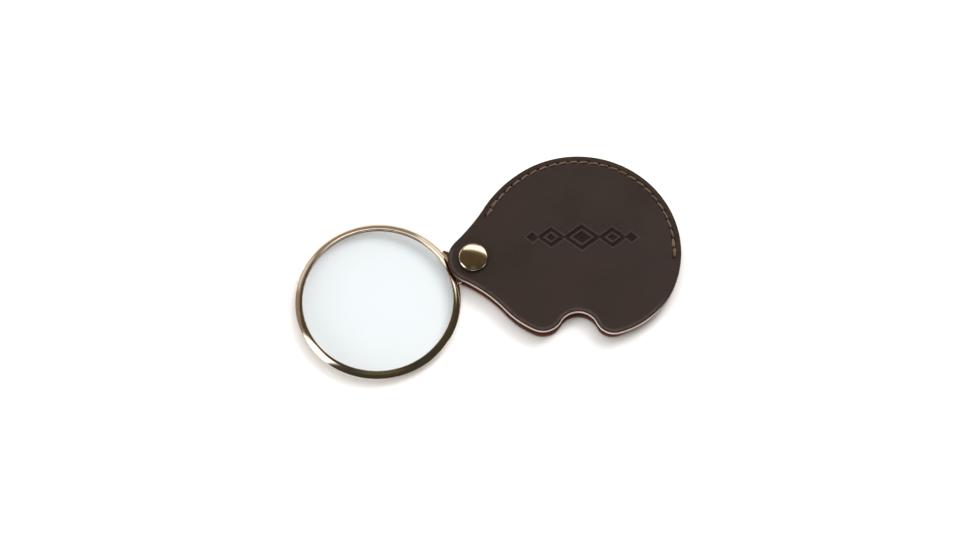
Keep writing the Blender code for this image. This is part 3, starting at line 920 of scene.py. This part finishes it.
def build_rivet():
    """The domed front cap and the flat back cap, spun from sheet, and a brass finish for the parts inside."""
    cap = turned("rivet_cap_dome", cap_section(), [RIVET], steps=160)
    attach(cap, "case")
    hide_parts("rivet_front_cap")
    back = turned("rivet_back_disc", [(r * MM, z * MM) for r, z in BACK_CAP], [RIVET], steps=128)
    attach(back, "case")
    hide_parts("rivet_back_cap")
    for node in ("rivet_socket", "rivet_post", "front_washer", "back_washer"):
        obj = frame["nodes"][node]
        obj.data.materials.clear()
        obj.data.materials.append(RIVET)


# ---------------------------------------------------------------- the rim, its lug and the lens
RIM_SHEET = 0.5 * MM
FACE_RADIUS = 4.75 * MM
FACE_TILTS = (14.0, 44.5)
INSIDE_RADIUS = 2.88 * MM
INSIDE_TILTS = (8.0, 46.0)
LIP_RADIUS = 0.26 * MM
LENS_EDGE_HALF = 0.45 * MM
LENS_BEVEL = 0.1 * MM
LUG_BEVEL = 0.09 * MM


def arc(corner, radius, start, end, steps):
    """Points of a convex arc from corner, where the face's tilt is start, to where it is end, in degrees."""
    tilts = np.radians(np.linspace(start, end, steps))
    outwards = corner[0] + radius * (np.sin(tilts) - np.sin(tilts[0]))
    upwards = corner[1] + radius * (np.cos(tilts) - np.cos(tilts[0]))
    return list(zip(outwards, upwards))


def mirrored(section):
    """The same section below the middle plane, run the other way."""
    return [(radius, -z) for radius, z in reversed(section)]


def build_rim():
    """The rolled channel that holds the lens: two long sloping faces, a rounded nose and two lips."""
    face = arc((APERTURE_R + LIP_RADIUS, RIM_HALF - 0.06 * MM), FACE_RADIUS, *FACE_TILTS, 22)
    nose_radius = (RIM_OUTER_R - face[-1][0]) / (1.0 - math.sin(math.radians(FACE_TILTS[1])))
    nose = arc(face[-1], nose_radius, FACE_TILTS[1], 90.0, 9)
    upper = [(APERTURE_R + 0.07 * MM, 0.70 * MM), (APERTURE_R, 0.78 * MM), (APERTURE_R, 1.10 * MM)]
    upper += arc((APERTURE_R + 0.01 * MM, 1.19 * MM), LIP_RADIUS, -78.0, 0.0, 7)
    upper += [*face, *nose[1:-1]]
    inside_start = (APERTURE_R + 0.19 * MM, RIM_HALF - RIM_SHEET)
    hollow = arc(inside_start, INSIDE_RADIUS, *INSIDE_TILTS, 8)
    section = upper + [(RIM_OUTER_R, 0.0)] + mirrored(upper)
    section += mirrored(hollow)[::-1] + [(RIM_OUTER_R - RIM_SHEET, 0.0)] + hollow[::-1]
    section = [(radius, z + MIDDLE) for radius, z in section]
    rim = turned("lens_rim_channel", section, [GILT], RING_CENTRE, steps=288)
    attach(rim, "lens")
    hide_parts("lens_rim")


def build_lens():
    """The lens: two spherical faces and a bevelled, ground edge."""
    sag = LENS_HALF - LENS_EDGE_HALF
    sphere = (LENS_R**2 + sag**2) / (2 * sag)
    radii = np.linspace(0.0, LENS_R - LENS_BEVEL, 40)
    upper = [(r, LENS_HALF - sphere + math.sqrt(sphere**2 - r**2)) for r in radii]
    upper.append((LENS_R, upper[-1][1] - LENS_BEVEL))
    section = [(r, z + MIDDLE) for r, z in upper + mirrored(upper)]
    lens = turned("lens_glass_disc", section, [GLASS], RING_CENTRE, steps=256)
    lens.data.set_sharp_from_angle(angle=math.radians(25))
    # The floor under the lens is lit through it, so the lens itself casts no shadow.
    lens.visible_shadow = False
    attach(lens, "lens")
    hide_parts("lens")


def build_lug():
    """The lug with its CAD shape, its edges broken by a small bevel."""
    form = bmesh.new()
    form.from_mesh(frame["nodes"]["pivot_lug"].data)
    bmesh.ops.remove_doubles(form, verts=form.verts, dist=0.001 * MM)
    bmesh.ops.dissolve_limit(form, angle_limit=math.radians(1.0), verts=form.verts, edges=form.edges)
    sharp = [e for e in form.edges if len(e.link_faces) == 2 and e.calc_face_angle() > math.radians(35)]
    bmesh.ops.bevel(
        form, geom=sharp, offset=LUG_BEVEL, segments=2, profile=0.5, affect="EDGES", clamp_overlap=True
    )
    verts = [v.co for v in form.verts]
    lug = new_piece("lug_plate", verts, [[v.index for v in f.verts] for f in form.faces], [GILT])
    form.free()
    lug.data.set_sharp_from_angle(angle=CREASE_ANGLE)
    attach(lug, "lens")
    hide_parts("pivot_lug")


# ---------------------------------------------------------------- floor, light and camera
FLOOR_HALF = 1.6
FLOOR_DROP = 0.02 * MM
LIGHT_COLOUR = (1.0, 0.998, 0.998)
CAMERA_ELEVATION = math.radians(68.55)
CAMERA_DISTANCE = 0.9793
CAMERA_LENS_MM = 107.96
AIM = Vector((0.106 * MM, -1.477 * MM, 0.0))

# What the metal reflects. Azimuth is counted in degrees from straight behind, positive to the right. Each
# window is its azimuths, its elevations, how soft its border is and its colour, and covers those before it.
DIM_ROOM = (0.052, 0.050, 0.038)
WARM_WALL = (0.084, 0.062, 0.037)
GLOW = (0.125, 0.112, 0.066)
WINDOWS = (
    ((-80.0, 42.0), (-8.0, 38.0), 4.0, (0.34, 0.275, 0.225)),
    ((-112.0, -72.0), (-8.0, 30.0), 6.0, (0.32, 0.26, 0.20)),
    ((-60.0, -38.0), (6.0, 24.0), 3.0, (0.95, 0.90, 0.84)),
    ((17.0, 37.0), (8.0, 30.0), 3.0, (1.15, 1.13, 1.08)),
    ((-128.0, -96.0), (12.0, 55.0), 3.0, (2.6, 2.55, 2.45)),
    ((103.0, 126.0), (3.0, 15.0), 3.0, (1.9, 1.85, 1.78)),
)
# A lit strip in the ceiling. Its sides are given on a level plane 1 above the object: how far behind it,
# which slants by STRIP_SLANT for each 1 to the right, and how far to the right. Its softness comes third.
STRIP_BEHIND = (0.86, 1.45, 0.13)
STRIP_RIGHT = (-0.62, 1.1, 0.10)
STRIP_SLANT = 0.27
STRIP_COLOUR = (2.0, 1.92, 1.80)


def build_stage():
    floor_material = bpy.data.materials.new("pale_floor")
    floor_material.use_nodes = True
    shader = floor_material.node_tree.nodes["Principled BSDF"]
    shader.inputs["Base Color"].default_value = (0.93, 0.93, 0.93, 1.0)
    shader.inputs["Roughness"].default_value = 0.9
    shader.inputs["Specular IOR Level"].default_value = 0.1
    mesh = bpy.data.meshes.new("floor")
    corners = [(x * FLOOR_HALF, y * FLOOR_HALF, -FLOOR_DROP) for x, y in ((-1, -1), (1, -1), (1, 1), (-1, 1))]
    mesh.from_pydata(corners, [], [(0, 1, 2, 3)])
    mesh.materials.append(floor_material)
    floor = bpy.data.objects.new("floor", mesh)
    bpy.context.scene.collection.objects.link(floor)


def area_light(name, place, size, power):
    """A square lamp aimed at the object. The lamp itself isn't seen in the metal or through the lens."""
    data = bpy.data.lights.new(name, "AREA")
    data.shape = "RECTANGLE"
    data.size = size
    data.size_y = size
    data.energy = power
    data.color = LIGHT_COLOUR
    light = bpy.data.objects.new(name, data)
    light.location = place
    light.rotation_mode = "QUATERNION"
    light.rotation_quaternion = (-Vector(place)).to_track_quat("-Z", "Y")
    light.visible_glossy = False
    light.visible_transmission = False
    bpy.context.scene.collection.objects.link(light)


def build_world():
    """The studio as the metal sees it: a dim room, a warm wall behind, and windows round it."""
    world = bpy.data.worlds.new("studio")
    bpy.context.scene.world = world
    world.use_nodes = True
    tree = world.node_tree
    background = tree.nodes["Background"]
    place = tree.nodes.new("ShaderNodeTexCoord")
    split = tree.nodes.new("ShaderNodeSeparateXYZ")
    tree.links.new(place.outputs["Generated"], split.inputs[0])
    x, y, z = split.outputs

    def calculate(operation, first, second=0.0):
        node = tree.nodes.new("ShaderNodeMath")
        node.operation = operation
        for socket, value in zip(node.inputs, (first, second)):
            if isinstance(value, float):
                socket.default_value = value
            else:
                tree.links.new(value, socket)
        return node.outputs["Value"]

    def ramp(value, low, high):
        node = tree.nodes.new("ShaderNodeMapRange")
        node.interpolation_type = "SMOOTHSTEP"
        tree.links.new(value, node.inputs["Value"])
        node.inputs["From Min"].default_value = low
        node.inputs["From Max"].default_value = high
        return node.outputs["Result"]

    def band(value, low, high, soft):
        rise = ramp(value, low - soft, low + soft)
        return calculate("MULTIPLY", rise, ramp(value, high + soft, high - soft))

    def patch(azimuths, elevations, soft):
        return calculate("MULTIPLY", band(azimuth, *azimuths, soft), band(elevation, *elevations, soft))

    def over(share, colour, under):
        node = tree.nodes.new("ShaderNodeMix")
        node.data_type = "RGBA"
        sockets = [s for s in node.inputs if s.type == "RGBA"]
        tree.links.new(share, node.inputs["Factor"])
        if isinstance(under, tuple):
            sockets[0].default_value = (*under, 1.0)
        else:
            tree.links.new(under, sockets[0])
        sockets[1].default_value = (*colour, 1.0)
        return next(s for s in node.outputs if s.type == "RGBA")

    azimuth = calculate("DEGREES", calculate("ARCTAN2", x, y))
    elevation = calculate("DEGREES", calculate("ARCSINE", z))
    behind = calculate("MULTIPLY", band(azimuth, -100.0, 100.0, 25.0), ramp(elevation, 30.0, 45.0))
    sky = over(behind, WARM_WALL, DIM_ROOM)
    high = band(elevation, 52.0, 84.0, 6.0)
    in_front = calculate("ADD", band(azimuth, -210.0, -150.0, 12.0), band(azimuth, 150.0, 210.0, 12.0))
    sky = over(calculate("MULTIPLY", in_front, high), GLOW, sky)
    for azimuths, elevations, soft, colour in WINDOWS:
        sky = over(patch(azimuths, elevations, soft), colour, sky)
    right = calculate("DIVIDE", x, z)
    back = calculate("ADD", calculate("DIVIDE", y, z), calculate("MULTIPLY", right, STRIP_SLANT))
    strip = calculate("MULTIPLY", band(back, *STRIP_BEHIND), band(right, *STRIP_RIGHT))
    strip = calculate("MULTIPLY", strip, ramp(z, 0.0, 0.1))
    sky = over(strip, STRIP_COLOUR, sky)
    tree.links.new(sky, background.inputs["Color"])
    background.inputs["Strength"].default_value = 1.0


def build_camera():
    data = bpy.data.cameras.new("camera")
    data.lens = CAMERA_LENS_MM
    data.sensor_width = 36.0
    data.clip_start = 0.01
    camera = bpy.data.objects.new("camera", data)
    back = Vector((0.0, -math.cos(CAMERA_ELEVATION), math.sin(CAMERA_ELEVATION)))
    camera.location = AIM + back * CAMERA_DISTANCE
    camera.rotation_mode = "QUATERNION"
    camera.rotation_quaternion = (-back).to_track_quat("-Z", "Y")
    bpy.context.scene.collection.objects.link(camera)
    bpy.context.scene.camera = camera


# ---------------------------------------------------------------- assembly
build_camera()
build_panels()
build_welt()
build_thread("front_stitching", "front_thread", FRONT_TOP, -1, 0.20 * MM, 0.34 * MM)
build_thread("back_stitching", "back_thread", 0.0, 1, -0.20 * MM, 0.46 * MM)
build_rivet()
build_rim()
build_lug()
build_lens()
build_stage()
build_world()
area_light("overhead", (0.0, 0.1, 1.3), 1.3, 13.6)
area_light("key", (0.26, 0.24, 0.42), 0.26, 1.45)
bpy.context.scene.view_settings.view_transform = "Standard"
bpy.context.scene.view_settings.look = "None"
